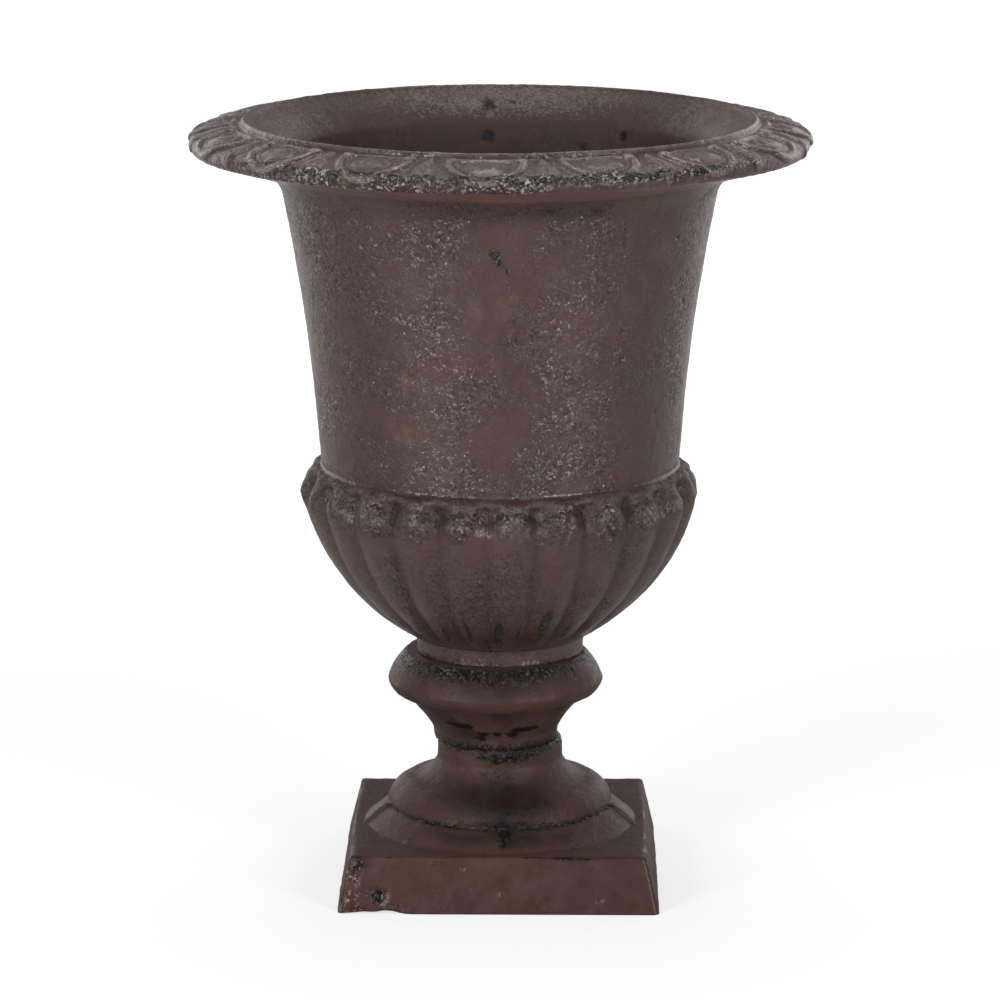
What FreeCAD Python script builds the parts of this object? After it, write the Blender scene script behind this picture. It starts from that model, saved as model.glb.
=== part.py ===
"""Cast-iron garden urn on a square plinth: three castings held together by one tie bolt.

Sizes are in millimetres and angles in degrees. +Z is up, the front is -Y, and the origin is the
middle of the plinth's underside. The bowl is one casting with its bell and rim. It stands on the
knop, which stands on the foot. The bolt passes down through all three and is nutted under the foot.
"""
import FreeCAD, Part
import math
import os

# Heights of the foot, from the ground up
plinth_height = 20.7
apron_height = 7.1
dome_height = 17.7
foot_collar_height = 5.5
foot_groove_height = 1.9

# Widths of the foot
plinth_base_width = 119.3
plinth_top_width = 109.7
plinth_corner_radius = 1.6
plinth_edge_radius = 1.0
apron_radius = 51.0
dome_radius = 42.4
dome_bend_radius = 32.6
dome_bend_height = 9.7
dome_bulge = 2.5
dome_hollow = 1.45
foot_collar_radius = 23.4
foot_groove_radius = 22.8

# Knop, from the foot up
stem_height = 4.5
neck_height = 13.1
knop_under_height = 5.2
knop_upper_height = 10.9
stem_base_radius = 22.9
stem_radius = 23.6
neck_hollow = 0.7
knop_edge_radius = 34.1
knop_radius = 40.5
knop_under_bulge = 1.5
knop_top_radius = 33.3
knop_top_bulge = 0.9
knop_shift = 1.7

# Bowl, from the knop up
bowl_collar_height = 6.8
swell_height = 49.1
nose_height = 17.8
bell_height = 107.3
bowl_collar_radius = 31.3
bowl_collar_hollow = 0.3
swell_base_radius = 32.0
swell_radius = 72.9
swell_bulge = 6.65
nose_bulge = 2.9
bell_foot_radius = 66.9
bell_top_radius = 81.6
bell_hollow = 1.9

# Lobes round the swell of the bowl
lobe_count = 24
lobe_turn = 3.6
lobe_depth_share = 0.026
nose_gap_depth = 4.4
swell_stations = 9
nose_stations = 6

# Rim of the bowl, from its outer radius inward
rim_radius = 114.7
rim_under_height = 9.0
rim_edge_height = 5.4
rim_edge_draft = 0.7
rim_edge_bulge = 1.2
rim_band_width = 19.2
rim_band_height = 5.2
rim_band_bulge = 0.8
lip_bead_radius = 1.5
flare_depth = 11.6
flare_width = 13.0

# Eggs, shells and darts round the top of the rim, drawn as shares of the band's breadth
egg_count = 16
egg_turn = -2.6
egg_length_share = 0.985
egg_width_share = 0.603
egg_rise = 1.4
egg_root = 2.4
shell_radius_share = 0.633
shell_top_width_share = 0.09
shell_root_width_share = 0.231
shell_setback_share = 0.206
shell_rise = 1.3
shell_root = 2.6
shell_sweep = 202.0
dart_length_share = 0.855
dart_width_share = 0.422
dart_belly_share = 0.6
dart_rise = 1.6
dart_root = 1.3

# Walls and floors
bowl_wall = 5.0
floor_height = 10.4
floor_radius = 28.0
inner_swell_radius = 61.5
inner_swell_height = 41.0
inner_swell_bulge = 5.0
knop_wall = 5.0
knop_web = 6.0
foot_wall = 5.0
foot_web = 6.0

# Fixing: one bolt down the middle, and a drain beside it
bolt_diameter = 8.0
bolt_head_width = 13.0
bolt_head_height = 5.3
bolt_end_length = 3.0
nut_height = 6.5
nut_clearance = 0.1
washer_diameter = 20.0
washer_thickness = 1.5
washer_clearance = 0.2
bolt_hole_clearance = 1.0
drain_diameter = 6.0
drain_place_radius = 14.0

# Every cutter runs past the face it leaves by this much
overrun = 1.0

# Levels worked out from the heights
foot_top = plinth_height + apron_height + dome_height + foot_collar_height + foot_groove_height
knop_top = foot_top + stem_height + neck_height + knop_under_height + knop_upper_height
swell_base = knop_top + bowl_collar_height
nose_base = swell_base + swell_height
bell_foot = nose_base + nose_height
bell_top = bell_foot + bell_height
rim_edge_base = bell_top + rim_under_height
band_base = rim_edge_base + rim_edge_height
band_top = band_base + rim_band_height
bowl_floor = knop_top + floor_height
web_underside = foot_top - foot_web
bolt_hole_radius = bolt_diameter / 2 + bolt_hole_clearance
knop_hole_radius = bolt_hole_radius + knop_shift

# The band that carries the eggs, from the lip bead out and down to the rim's edge
band_inner_radius = rim_radius - rim_band_width
lip_inner_radius = band_inner_radius - 2 * lip_bead_radius
band_run = rim_radius - band_inner_radius
band_breadth = math.hypot(band_run, rim_band_height)
band_slope = math.degrees(math.atan2(rim_band_height, band_run))

UP = FreeCAD.Vector(0, 0, 1)
ORIGIN = FreeCAD.Vector(0, 0, 0)


def spot(radius, height):
    """A point of a turned outline."""
    return FreeCAD.Vector(radius, 0, height)


def bowed(start, end, bow):
    """A curve from start to end whose middle stands off to its right by the bow."""
    if bow == 0:
        return Part.LineSegment(start, end)
    along = (end - start).normalize()
    right = FreeCAD.Vector(along.z, 0, -along.x)
    return Part.Arc(start, (start + end) / 2 + right * bow, end)


def turned(first, steps):
    """A solid turned about Z from an outline of (radius, height, bow) steps, closed at the axis.

    On the way up, a positive bow swells outward and a negative one is hollow.
    """
    here = spot(*first)
    edges = []
    if first[0] > 0:
        edges.append(Part.LineSegment(spot(0, first[1]), here).toShape())
    for radius, height, bow in steps:
        there = spot(radius, height)
        edges.append(bowed(here, there, bow).toShape())
        here = there
    edges.append(Part.LineSegment(here, spot(0, here.z)).toShape())
    if here.z != first[1]:
        edges.append(Part.LineSegment(spot(0, here.z), spot(0, first[1])).toShape())
    return Part.Face(Part.Wire(edges)).revolve(ORIGIN, UP, 360)


def post(radius, bottom, top):
    """An upright cylinder on the axis between two levels."""
    return Part.makeCylinder(radius, top - bottom, spot(0, bottom), UP)


def drain(bottom, top):
    """The cutter for the drain beside the bolt, at the back."""
    place = FreeCAD.Vector(0, drain_place_radius, bottom)
    return Part.makeCylinder(drain_diameter / 2, top - bottom, place, UP)


def holes(bolt_radius, bottom, top):
    """The cutters for the bolt and the drain through one web, run past both its faces."""
    low = bottom - overrun
    high = top + overrun
    return [post(bolt_radius, low, high), drain(low, high)]


def square(width, height):
    """An upright square wire about the axis."""
    half = width / 2
    corners = [FreeCAD.Vector(x * half, y * half, height) for x, y in ((-1, -1), (1, -1), (1, 1), (-1, 1))]
    return Part.makePolygon(corners + corners[:1])


def tapered_block(base_width, top_width, bottom, top):
    """A square block that narrows upward."""
    return Part.makeLoft([square(base_width, bottom), square(top_width, top)], True, True)


def plinth():
    """The square slab of the foot, with its cast corners and upper edge rounded."""
    block = tapered_block(plinth_base_width, plinth_top_width, 0, plinth_height)
    middle = plinth_height / 2
    sloping = [e for e in block.Edges if e.BoundBox.ZMin < middle < e.BoundBox.ZMax]
    block = block.makeFillet(plinth_corner_radius, sloping)
    upper = [e for e in block.Edges if e.Vertexes[0].Z > middle and e.Vertexes[1].Z > middle]
    return block.makeFillet(plinth_edge_radius, upper)


def foot_steps(bulge, hollow, wall):
    """Steps from the apron to the collar, with the curves of the dome, drawn in by a wall."""
    apron_top = plinth_height + apron_height - wall
    return [
        (dome_radius - wall, apron_top, 0),
        (dome_bend_radius - wall, apron_top + dome_bend_height, bulge),
        (foot_collar_radius - wall, apron_top + dome_height, -hollow),
    ]


def slab_inner_width(height):
    """The width between the plinth's side walls at a height."""
    taper = (plinth_base_width - plinth_top_width) / plinth_height
    return plinth_base_width - taper * height - 2 * foot_wall


def foot_hollow():
    """The cutters for the underside: the slab's square hollow and the dome's, cored with straight sides."""
    slab_top = plinth_height - foot_wall
    slab = tapered_block(slab_inner_width(-overrun), slab_inner_width(slab_top), -overrun, slab_top)
    mouth_radius = apron_radius - foot_wall
    steps = [(mouth_radius, slab_top, 0)] + foot_steps(0, 0, foot_wall)
    steps.append((foot_collar_radius - foot_wall, web_underside, 0))
    return [slab, turned((mouth_radius, slab_top - overrun), steps)]


def foot():
    """Plinth, apron, dome and collar in one casting, hollow from below up to the web under its top."""
    steps = foot_steps(dome_bulge, dome_hollow, 0)
    steps.append((foot_collar_radius, foot_top - foot_groove_height, 0))
    steps.append((foot_groove_radius, foot_top, 0))
    body = turned((apron_radius, plinth_height), steps).fuse(plinth())
    return body.cut(foot_hollow() + holes(bolt_hole_radius, web_underside, foot_top))


def knop():
    """The turned knop between foot and bowl, cored from below and bolted up a little off the middle."""
    stem_top = foot_top + stem_height
    edge = stem_top + neck_height
    widest = edge + knop_under_height
    body = turned((stem_base_radius, foot_top), [
        (stem_radius, stem_top, 0),
        (knop_edge_radius, edge, -neck_hollow),
        (knop_radius, widest, knop_under_bulge),
        (knop_top_radius, knop_top, knop_top_bulge),
    ])
    below = foot_top - overrun
    core = turned((stem_base_radius - knop_wall, below), [
        (stem_base_radius - knop_wall, foot_top, 0),
        (stem_radius - knop_wall, stem_top, 0),
        (knop_edge_radius - knop_wall, edge, 0),
        (knop_radius - knop_wall, widest, 0),
        (knop_top_radius - knop_wall, knop_top - knop_web, 0),
    ])
    shift = FreeCAD.Vector(-knop_shift, 0, 0)
    body.translate(shift)
    core.translate(shift)
    bore = post(knop_hole_radius, below, knop_top + overrun)
    bore.translate(shift)
    return body.cut([core, bore, drain(below, knop_top + overrun)])


def scalloped(crest, valley, height):
    """A level wire of one outward arc per lobe, from valley to valley over each crest."""
    pitch = math.radians(360.0 / lobe_count)
    turn = math.radians(lobe_turn)

    def at(radius, steps):
        angle = turn + steps * pitch
        return FreeCAD.Vector(radius * math.cos(angle), radius * math.sin(angle), height)

    arcs = [Part.Arc(at(valley, k - 0.5), at(crest, k), at(valley, k + 0.5)) for k in range(lobe_count)]
    return Part.Wire([arc.toShape() for arc in arcs])


def along_curve(curve, count):
    """Points spread evenly along a curve, from its start to its end."""
    first, last = curve.FirstParameter, curve.LastParameter
    return [curve.value(first + (last - first) * i / count) for i in range(count + 1)]


def lobed_swell():
    """The swell of the bowl with its ring of lobes, which end above in round noses."""
    swell = bowed(spot(swell_base_radius, swell_base), spot(swell_radius, nose_base), swell_bulge)
    nose = bowed(spot(swell_radius, nose_base), spot(bell_foot_radius, bell_foot), nose_bulge)
    wires = []
    for i, place in enumerate(along_curve(swell, swell_stations)):
        depth = place.x * lobe_depth_share if i else 0
        wires.append(scalloped(place.x, place.x - depth, place.z))
    full_depth = swell_radius * lobe_depth_share
    for i, place in enumerate(along_curve(nose, nose_stations)[1:], 1):
        share = i / nose_stations
        depth = full_depth * (1 - share) + nose_gap_depth * math.sin(math.pi * share)
        valley = max(place.x - depth, bell_foot_radius) if place.x > bell_foot_radius else place.x
        wires.append(scalloped(place.x, valley, place.z))
    return Part.makeLoft(wires, True, True)


def bell_and_rim():
    """The bell, the overhanging rim and its lip bead, solid to the axis."""
    return turned((bell_foot_radius, bell_foot), [
        (bell_top_radius, bell_top, -bell_hollow),
        (rim_radius - rim_edge_draft, rim_edge_base, 0),
        (rim_radius, band_base, rim_edge_bulge),
        (band_inner_radius, band_top, rim_band_bulge),
        (lip_inner_radius, band_top, lip_bead_radius),
    ])


def bowl_hollow():
    """The inside of the bowl: flare, bell and lower bowl down to the flat floor."""
    throat = band_top - flare_depth
    return turned((floor_radius, bowl_floor), [
        (inner_swell_radius, bowl_floor + inner_swell_height, inner_swell_bulge),
        (bell_foot_radius - bowl_wall, bell_foot, 0),
        (bell_top_radius - bowl_wall, bell_top, -bell_hollow),
        (lip_inner_radius - flare_width, throat, 0),
        (lip_inner_radius, band_top, 0),
        (lip_inner_radius, band_top + lip_bead_radius + overrun, 0),
    ])


def egg():
    """A flattened egg lying on the band, its long way round the rim."""
    height = egg_rise + egg_root
    spread = 1 / math.sqrt(1 - (egg_root / height) ** 2)
    half_width = egg_width_share * band_breadth / 2
    half_length = egg_length_share * band_breadth / 2
    stretch = FreeCAD.Matrix()
    stretch.scale(half_width * spread, half_length * spread, height)
    body = Part.makeSphere(1).transformGeometry(stretch)
    body.translate(FreeCAD.Vector(0, 0, -egg_root))
    return body


def shell():
    """The bevelled ridge that runs round the outer side of an egg and is open to the lip."""
    radius = shell_radius_share * band_breadth
    half_top = shell_top_width_share * band_breadth / 2
    half_root = shell_root_width_share * band_breadth / 2
    section = Part.makePolygon([
        spot(radius - half_root, -shell_root),
        spot(radius + half_root, -shell_root),
        spot(radius + half_top, shell_rise),
        spot(radius - half_top, shell_rise),
        spot(radius - half_root, -shell_root),
    ])
    ridge = Part.Face(section)
    ridge.rotate(ORIGIN, UP, -shell_sweep / 2)
    ridge = ridge.revolve(ORIGIN, UP, shell_sweep)
    ridge.translate(FreeCAD.Vector(-shell_setback_share * band_breadth, 0, 0))
    return ridge


def dart():
    """The four-sided dart that stands between two shells, pointing outward."""
    length = dart_length_share * band_breadth
    half_width = dart_width_share * band_breadth / 2
    tip = length / 2
    belly = tip - length * dart_belly_share
    spots = [(-tip, 0), (belly, -half_width), (tip, 0), (belly, half_width)]
    corners = [FreeCAD.Vector(x, y, -dart_root) for x, y in spots]
    base = Part.makePolygon(corners + corners[:1])
    peak = Part.Vertex(belly, 0, dart_rise)
    return Part.makeLoft([base, peak], True, True)


def rim_ornament():
    """The ring of eggs in their shells with a dart between each two, along the middle of the band."""
    middle = spot((band_inner_radius + rim_radius) / 2, (band_top + band_base) / 2)
    pieces = []
    for k in range(egg_count):
        for make, turn in ((egg, egg_turn), (shell, egg_turn), (dart, egg_turn + 180.0 / egg_count)):
            piece = make()
            piece.translate(FreeCAD.Vector(0, 0, rim_band_bulge))
            piece.rotate(ORIGIN, FreeCAD.Vector(0, 1, 0), band_slope)
            piece.translate(middle)
            piece.rotate(ORIGIN, UP, turn + 360.0 / egg_count * k)
            pieces.append(piece)
    return pieces


def bowl():
    """Collar, lobed swell, bell and ornamented rim in one open casting."""
    collar = turned((bowl_collar_radius, knop_top), [(swell_base_radius, swell_base, -bowl_collar_hollow)])
    body = lobed_swell().fuse([collar, bell_and_rim()])
    body = body.fuse(rim_ornament())
    return body.cut([bowl_hollow()] + holes(bolt_hole_radius, knop_top, bowl_floor))


def hexagon(width, bottom, height):
    """A hexagonal prism about the axis, by its width across flats."""
    radius = width / math.sqrt(3)
    angles = [math.radians(60 * k) for k in range(7)]
    corners = [FreeCAD.Vector(radius * math.cos(a), radius * math.sin(a), bottom) for a in angles]
    return Part.Face(Part.makePolygon(corners)).extrude(UP * height)


def washer(bottom):
    """A plain washer lying on a level."""
    disc = post(washer_diameter / 2, bottom, bottom + washer_thickness)
    hole = post(bolt_diameter / 2 + washer_clearance, bottom - overrun, bottom + washer_thickness + overrun)
    return disc.cut(hole)


def tie_bolt():
    """The bolt whose head lies on the washer in the bowl and whose end passes the nut."""
    seat = bowl_floor + washer_thickness
    end = web_underside - washer_thickness - nut_height - bolt_end_length
    return hexagon(bolt_head_width, seat, bolt_head_height).fuse(post(bolt_diameter / 2, end, seat))


def tie_nut():
    """The nut drawn up under the foot's web."""
    bottom = web_underside - washer_thickness - nut_height
    hole = post(bolt_diameter / 2 + nut_clearance, bottom - overrun, bottom + nut_height + overrun)
    return hexagon(bolt_head_width, bottom, nut_height).cut(hole)


def main():
    parts = {
        "foot": foot(),
        "knop": knop(),
        "bowl": bowl(),
        "bowl_washer": washer(bowl_floor),
        "foot_washer": washer(web_underside - washer_thickness),
        "tie_bolt": tie_bolt(),
        "tie_nut": tie_nut(),
    }
    os.makedirs("parts", exist_ok=True)
    for name, shape in parts.items():
        shape.exportStep("parts/" + name + ".step")
        print(name, "solids", len(shape.Solids), "valid", shape.isValid(), "mm3", round(shape.Volume))


main()
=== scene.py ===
"""Looks of the cast-iron garden urn: foot, knop and bowl as rough castings, with their tie bolt.

Lengths are in millimetres, as on a foundry drawing, and are turned into metres when a mesh is
made. Only the settings and the stage are in metres. Angles round the urn are in degrees from the
front, positive to the right.
"""
import math

import bpy
import numpy as np
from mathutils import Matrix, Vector


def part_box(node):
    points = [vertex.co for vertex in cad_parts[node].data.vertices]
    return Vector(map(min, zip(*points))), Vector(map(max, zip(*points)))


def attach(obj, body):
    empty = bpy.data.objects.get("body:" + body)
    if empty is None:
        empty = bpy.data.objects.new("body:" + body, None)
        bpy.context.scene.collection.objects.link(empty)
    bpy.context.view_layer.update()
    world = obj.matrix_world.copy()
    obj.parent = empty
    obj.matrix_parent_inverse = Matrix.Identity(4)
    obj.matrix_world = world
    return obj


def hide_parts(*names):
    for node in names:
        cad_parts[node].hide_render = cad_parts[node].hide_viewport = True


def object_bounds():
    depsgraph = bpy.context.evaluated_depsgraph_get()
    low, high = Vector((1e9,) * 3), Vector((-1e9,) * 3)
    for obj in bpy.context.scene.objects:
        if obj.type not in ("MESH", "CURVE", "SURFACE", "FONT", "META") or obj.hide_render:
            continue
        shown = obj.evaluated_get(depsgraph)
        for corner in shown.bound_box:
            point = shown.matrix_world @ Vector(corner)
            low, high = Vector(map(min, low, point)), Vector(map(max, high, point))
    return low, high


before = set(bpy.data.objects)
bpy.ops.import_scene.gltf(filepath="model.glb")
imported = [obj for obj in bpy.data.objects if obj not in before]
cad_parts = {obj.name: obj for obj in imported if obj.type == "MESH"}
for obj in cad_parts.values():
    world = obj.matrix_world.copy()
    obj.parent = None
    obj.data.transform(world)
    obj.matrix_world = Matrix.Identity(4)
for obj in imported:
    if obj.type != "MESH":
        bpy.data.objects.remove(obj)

bl_info = {
    "name": "Cast-iron garden urn",
    "version": (1, 0, 0),
    "blender": (4, 5, 0),
    "location": "3D View > Sidebar > Urn",
    "description": "Builds a bolted cast-iron urn with a lobed bowl and an egg-and-dart rim",
    "category": "Object",
}

CAD_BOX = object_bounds()
METRE = 1000.0


def level(node, end):
    """The lowest (0) or highest (1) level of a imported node, in millimetres."""
    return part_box(node)[end].z * METRE


# The furthest out that the rim may reach, and the levels of the joints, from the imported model
RIM_LIMIT = CAD_BOX[1][0] * METRE - 0.08
FOOT_TOP = level("foot", 1)
KNOP_TOP = level("knop", 1)
LIP_CREST = level("bowl", 1)

# Heights and radii of the foot and the knop
PLINTH_HEIGHT = 20.7
PLINTH_BASE_HALF = 59.65
PLINTH_TOP_HALF = 54.85
PLINTH_CORNER = 1.9
PLINTH_TURN = 0.77
SLAB_DRAFT = 1.1
WEB_THICKNESS = 6.0
APRON_HEIGHT = 7.1
APRON_RADIUS = 51.0
APRON_PART_LINES = (0.3, 180)
APRON_RIBS = (81, 279)
DOME_RADIUS = 42.4
DOME_BEND = (32.6, 9.7)
DOME_HEIGHT = 17.7
FOOT_COLLAR_RADIUS = 23.4
FOOT_GROOVE_RADIUS = 22.8
FOOT_GROOVE_HEIGHT = 1.9
STEM_FOOT_RADIUS = 22.9
STEM_HEIGHT = 4.5
STEM_RADIUS = 23.6
NECK_HEIGHT = 13.1
KNOP_EDGE_RADIUS = 34.1
KNOP_UNDER_HEIGHT = 5.2
KNOP_RADIUS = 40.5
KNOP_TOP_RADIUS = 33.3
KNOP_SHIFT = 1.7

# Heights and radii of the bowl
BOWL_COLLAR_HEIGHT = 6.8
BOWL_COLLAR_RADIUS = 31.3
SWELL_BASE_RADIUS = 32.0
SWELL_HEIGHT = 49.1
SWELL_RADIUS = 72.9
SWELL_BULGE = 6.65
NOSE_LEVEL = 154.4
NOSE_RADIUS = 71.3
NOSE_TOP_LEVEL = 158.3
NOSE_TOP_RADIUS = 67.7
NOSE_HEIGHT = 17.8
BELL_FOOT_RADIUS = 66.9
BELL_HEIGHT = 107.3
BELL_HOLLOW = 1.9
RIM_COVE_DROP = 5.4
RIM_COVE_FOOT = 80.6
RIM_COVE_RADIUS = 90.5
RIM_COVE_HEIGHT = 2.9
RIM_UNDER_HEIGHT = 9.0
RIM_EDGE_HEIGHT = 5.4
RIM_EDGE_RADIUS = 112.6
RIM_RADIUS = 114.2
RIM_MIDDLE_HEIGHT = 3.1
RIM_SHOULDER_RADIUS = 112.4
RIM_SHOULDER_RISE = 0.9
RIM_BAND_HEIGHT = 5.2
BAND_RADIUS = 105.1
LIP_OUTER_RADIUS = 95.7
LIP_GROOVE_DEPTH = 0.8
LIP_INNER_RADIUS = 92.5
LIP_BEAD_RISE = 1.8
FLARE_DEPTH = 11.6
THROAT_RADIUS = 78.3
INNER_BELL_RADIUS = 76.4
INNER_NOSE_RADIUS = 61.5
INNER_NOSE_RISE = 41.0
FLOOR_HEIGHT = 10.4
FLOOR_RADIUS = 28.0

# Shared by the castings
WALL = 5.0
BOLT_HOLE_RADIUS = 5.0
DRAIN_RADIUS = 3.0
DRAIN_PLACE = 14.0

APRON_TOP = PLINTH_HEIGHT + APRON_HEIGHT
DOME_TOP = APRON_TOP + DOME_HEIGHT
STEM_TOP = FOOT_TOP + STEM_HEIGHT
NECK_TOP = STEM_TOP + NECK_HEIGHT
SWELL_BASE = KNOP_TOP + BOWL_COLLAR_HEIGHT
NOSE_BASE = SWELL_BASE + SWELL_HEIGHT
BELL_FOOT = NOSE_BASE + NOSE_HEIGHT
BELL_TOP = BELL_FOOT + BELL_HEIGHT
EDGE_BASE = BELL_TOP + RIM_UNDER_HEIGHT
BAND_BASE = EDGE_BASE + RIM_EDGE_HEIGHT
BAND_TOP = BAND_BASE + RIM_BAND_HEIGHT
BOWL_FLOOR = KNOP_TOP + FLOOR_HEIGHT

# The egg-and-dart, round the band from the middle of an egg and out from the lip
EGG_HALF_WIDTH = 7.8
EGG_HALF_LENGTH = 6.4
EGG_PLACE = 10.6
SHELL_HALF_WIDTH = 13.2
SHELL_LENGTH = 15.2
SHELL_PLACE = 5.2
KNOB_AROUND = 12.7
KNOB_PLACE = 4.2
KNOB_RADIUS = 2.6
KNOB_RISE = 1.5
LINK_PLACE = 2.6
LINK_RISE = 0.75
DART_PLACE = 2.4
DART_LENGTH = 20.5
DART_HALF_WIDTH = 4.5

# The noses and the cover of the bowl: a pair is where something begins and where it is full
NOSE_ROUGH = (138, 150)
NOSE_CRUST_TOP = (157.5, 153.5)
# SWELL_SHADE: painted shade, darker towards the base of the swell
SWELL_SHADE = (118, 98)
EDGE_CRUST = (15.5, 19.5)
EDGE_CLEAN = (19.6, 21.4)
EDGE_TAR = 18.8
BELL_RUN_LEVEL = 265

# The bolt set
BOLT_RADIUS = 3.98
THREAD_DEPTH = 0.62
THREAD_PITCH = 1.25
THREAD_LENGTH = 26.0
HEXAGON_WIDTH = 13.0
HEXAGON_CHAMFER = 0.55
NUT_BORE = 4.1
NUT_MOUTH = 4.6
WASHER_BORE = 4.2
WASHER_RADIUS = 9.95
WASHER_EDGE = 0.2
BOLT_COLUMNS = 96

# The stage, in metres
FLOOR_REACH = 9.0
SENSOR_WIDTH = 36
# Each softbox is (name, angle, distance, height, width, length, height aimed at, power setting)
SOFTBOXES = (
    ("left_softbox", -38, 1.5, 0.6, 0.22, 1.15, 0.6, "left_lamp"),
    ("right_softbox", 39, 1.5, 0.6, 0.22, 1.15, 0.6, "right_lamp"),
    ("top_softbox", 180, 0.35, 1.6, 0.7, 0.7, 0.15, "top_lamp"),
    ("back_left_softbox", -140, 1.6, 0.7, 1.6, 1.4, 0.7, "back_lamps"),
    ("back_right_softbox", 140, 1.6, 0.7, 1.6, 1.4, 0.7, "back_lamps"),
)

# Marks on the castings, each (angle, height, half width, half height, lean, strength)
BOWL_PITS = [
    (55, 251, 1.0, 0.8, 0, 1.0), (44.5, 256, 0.8, 0.7, 0, 0.7), (65, 225, 1.2, 1.2, 0, 0.9),
    (37, 219, 1.3, 0.6, 0, 0.8), (-36, 240, 1.1, 0.7, 0, 0.6), (-51, 235, 1.0, 0.7, 0, 0.5),
    (2, 257, 0.8, 0.8, 0, 0.6), (17, 170, 1.0, 1.0, 0, 0.9), (-47, 173, 0.9, 0.8, 0, 0.6),
    (38, 208, 1.2, 0.8, 0.4, 0.7), (0, 216, 0.8, 0.8, 0, 0.7), (-5, 209, 0.8, 0.8, 0, 0.5),
]
BOWL_TAR = [
    (-1.2, 249, 2.5, 3.8, -0.35, 0.95), (1.6, 244, 0.9, 2.6, -0.5, 0.75),
    (-21, 256, 2.4, 2.2, 0, 0.62), (-58, 253, 2.6, 1.8, 0.4, 0.66), (3.8, 226, 0.7, 3.6, 0, 0.6),
    (4.6, 218, 0.8, 3.0, 0, 0.62), (9, 220, 0.7, 3.2, 0, 0.6), (-45, 222, 2.2, 1.6, 0, 0.5),
    (51, 223, 1.3, 1.4, 0, 0.5), (-29, 254, 4.0, 3.0, 0, 0.45), (12, 266, 7.0, 1.8, 0, 0.75),
    (24, 265, 5.0, 2.2, 0, 0.7), (-37, 192, 1.5, 2.0, 0, 0.5), (34, 258, 1.0, 5.0, -0.2, 0.5),
    (-14.5, 103, 1.3, 8, 0.05, 1.2), (-0.5, 102, 1.9, 9, 0.03, 1.25),
    (18.5, 107, 2.3, 9, -0.05, 1.25), (-27, 101, 1.7, 6, 0.3, 1.0), (32.5, 102, 1.5, 7, -0.2, 1.0),
    (-58.5, 124, 1.1, 5, -0.5, 0.9), (-7, 97, 1.0, 5, 0, 0.9), (8.5, 103, 0.9, 6, 0, 0.85),
    (4, 139, 3.0, 2.0, 0, 0.5),
]
BOWL_WORN = [
    (-29, 200, 1.6, 3.5, 0, 0.9), (30, 195, 2.6, 1.6, 0, 0.5), (50, 246, 6, 3, 0, 0.4),
    (-30, 181, 4.5, 2.6, 0, 0.5), (-7, 228, 3.0, 4, 0, 0.4), (1, 232, 4, 6, 0, 0.3),
]
INNER_PITS = [
    (-177.5, 281.5, 1.9, 2.4, 0, 1.2), (177, 282.3, 4.5, 0.8, 0, 0.7),
    (-176.6, 270.5, 3.0, 2.6, 0, 1.4), (143, 272.5, 2.0, 1.9, 0, 1.2),
    (-168, 268, 1.8, 2.0, 0, 0.9), (156, 267, 2.0, 1.4, 0, 0.9),
    (-152, 270, 1.0, 1.4, 0, 0.6), (120, 268, 1.2, 1.0, 0, 0.5),
]
KNOP_TAR = [
    (-30, 63, 7, 1.3, 0.1, 1.3), (4, 59.5, 9, 1.5, 0.15, 1.2), (24, 61.5, 8, 1.3, 0.25, 1.3),
    (-12, 57.5, 6, 1.2, 0.1, 1.1), (34, 74.2, 1.2, 1, 0, 0.9), (12, 66, 1.0, 0.8, 0, 0.6),
    (-34, 66, 3, 1.0, 0.2, 0.75), (-12, 88, 5, 2.0, 0, 0.8), (14, 87, 4, 1.6, 0, 0.7),
]
# Painted shade on the knop's front, where the bowl shades it
KNOP_SHADE = [(0, 84, 34, 11, 0, 0.74)]
FOOT_PITS = [
    (-38.5, 6.4, 2.0, 2.5, 0, 1.2), (32, 5.3, 0.8, 1.2, 0.3, 0.5), (-14, 16.6, 0.7, 0.8, 0, 0.4),
    (-0.7, 7.5, 0.5, 0.8, 0, 0.3), (-44, 12, 0.8, 2.4, 0, 0.6), (-47, 4, 1.6, 2.2, 0, 0.8),
]
FOOT_TAR = [
    (3.4, 26.4, 2.6, 1.9, 0.6, 1.15), (1.7, 24.0, 1.4, 2.0, 0.2, 0.95), (0, 29.5, 18, 1.5, 0, 0.95),
    (0, 33, 14, 3.5, 0, 0.36), (-4, 42, 6, 3.5, 0, 0.35), (-16, 50, 3.0, 1.6, 0, 0.8),
    (8, 50, 9.0, 2.4, 0.1, 1.05), (28, 51, 5.0, 1.8, 0, 0.9), (-44, 18, 2, 3, 0, 0.7),
    (-38.5, 6.4, 1.9, 2.4, 0, 0.9), (26, 20.2, 9, 0.6, 0, 0.9), (-47, 6, 2, 5, 0, 0.6),
]
# Painted shade on the fronts of the apron, dome and collar, where the bowl shades them
FOOT_SHADE = [(0, 36, 36, 11, 0, 0.7), (0, 25, 46, 4, 0, 0.68), (0, 47, 20, 8, 0, 0.5)]
# Pale specks on the plinth's left corner and round a pit: partly worn through, partly painted
# glints
FOOT_BARE_AND_GLINTS = [(-45, 14, 1.6, 7, 0, 0.9), (-45, 4, 2.6, 4, 0, 0.9), (-38.5, 6.4, 2.2, 2.6, 0, 0.4)]


# ---- Noise and grids ----

SKEW = np.array([[0.36, 0.48, -0.8], [-0.8, 0.6, 0.0], [0.48, 0.64, 0.6]], np.float32)
MIXERS = [np.uint32(n) for n in (374761393, 668265263, 2246822519, 3266489917)]


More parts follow.
